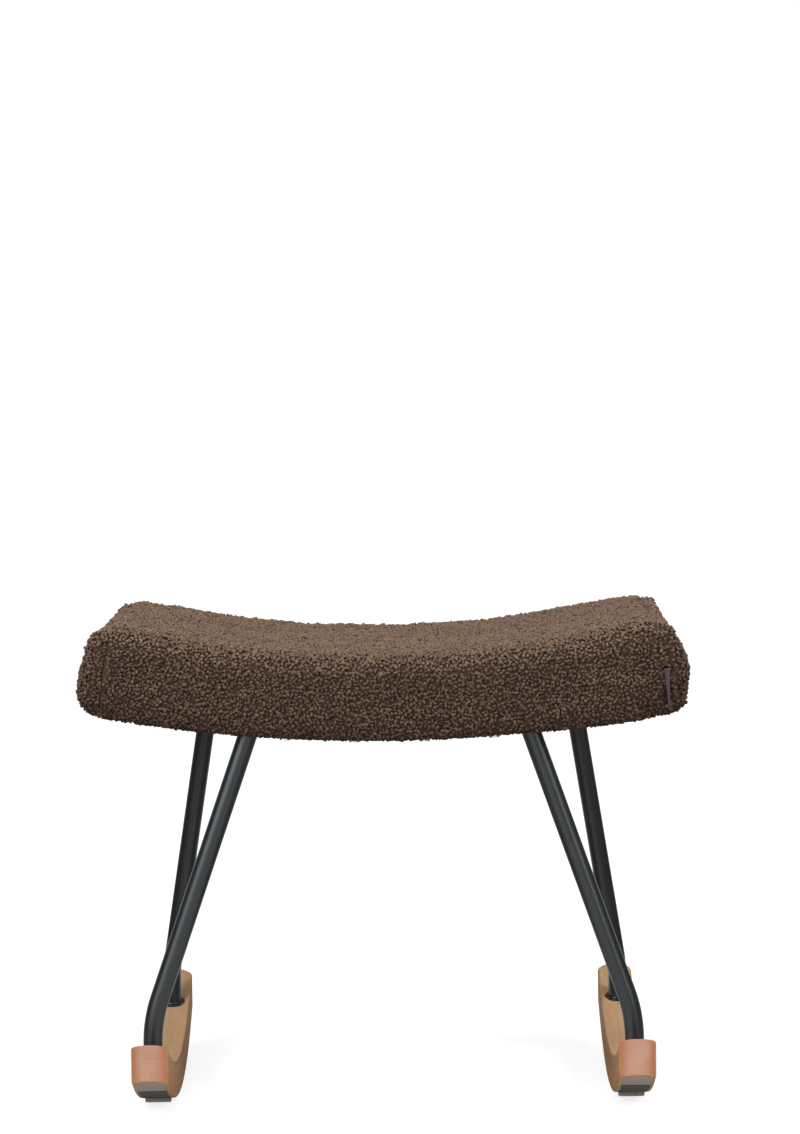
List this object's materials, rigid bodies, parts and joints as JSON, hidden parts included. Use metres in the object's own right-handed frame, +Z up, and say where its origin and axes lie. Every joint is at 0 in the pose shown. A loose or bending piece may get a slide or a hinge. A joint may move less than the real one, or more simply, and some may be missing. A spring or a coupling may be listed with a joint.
{
  "type": "rocking footstool",
  "caption": "Padded footstool with a dished seat in curly fabric, on bent black steel legs and curved wooden rockers that roll on the floor.",
  "frame": {"origin": "on the floor under the middle of the stool, where the middle of its rockers' contact with the floor lies", "axes": "+X to the right across the stool, +Y to its back along the rockers, +Z up"},
  "size_m": [0.5588, 0.41, 0.4634],
  "materials": {
    "rocker_wood": "clear satin lacquer",
    "black_steel": "satin powder coat",
    "plug_steel": "zinc plated",
    "zinc_fasteners": "zinc plated",
    "pad_rubber": "matte",
    "plywood": "bare bent plywood",
    "foam": "open cell foam",
    "curly_fabric": "curly pile",
    "dust_cloth": "thin non-woven cloth",
    "ribbon": "woven ribbon"
  },
  "bodies": {
    "root": {"rocker_left": "rocker_wood", "rocker_right": "rocker_wood", "leg_front_left": "black_steel", "leg_front_right": "black_steel", "leg_rear_left": "black_steel", "leg_rear_right": "black_steel", "foot_collar_front_left": "black_steel", "foot_collar_front_right": "black_steel", "foot_collar_rear_left": "black_steel", "foot_collar_rear_right": "black_steel", "foot_plug_front_left": "plug_steel", "foot_plug_front_right": "plug_steel", "foot_plug_rear_left": "plug_steel", "foot_plug_rear_right": "plug_steel", "leg_bolts": "zinc_fasteners", "leg_washers": "zinc_fasteners", "floor_pad_front_left": "pad_rubber", "floor_pad_front_right": "pad_rubber", "floor_pad_rear_left": "pad_rubber", "floor_pad_rear_right": "pad_rubber", "front_rail": "black_steel", "rear_rail": "black_steel", "side_rail_left": "black_steel", "side_rail_right": "black_steel", "rail_screws": "zinc_fasteners", "tee_nuts": "zinc_fasteners", "seat_board": "plywood", "foam_pad": "foam", "seat_cover": "curly_fabric", "dust_cloth": "dust_cloth", "side_tag": "ribbon"}
  },
  "joints": []
}
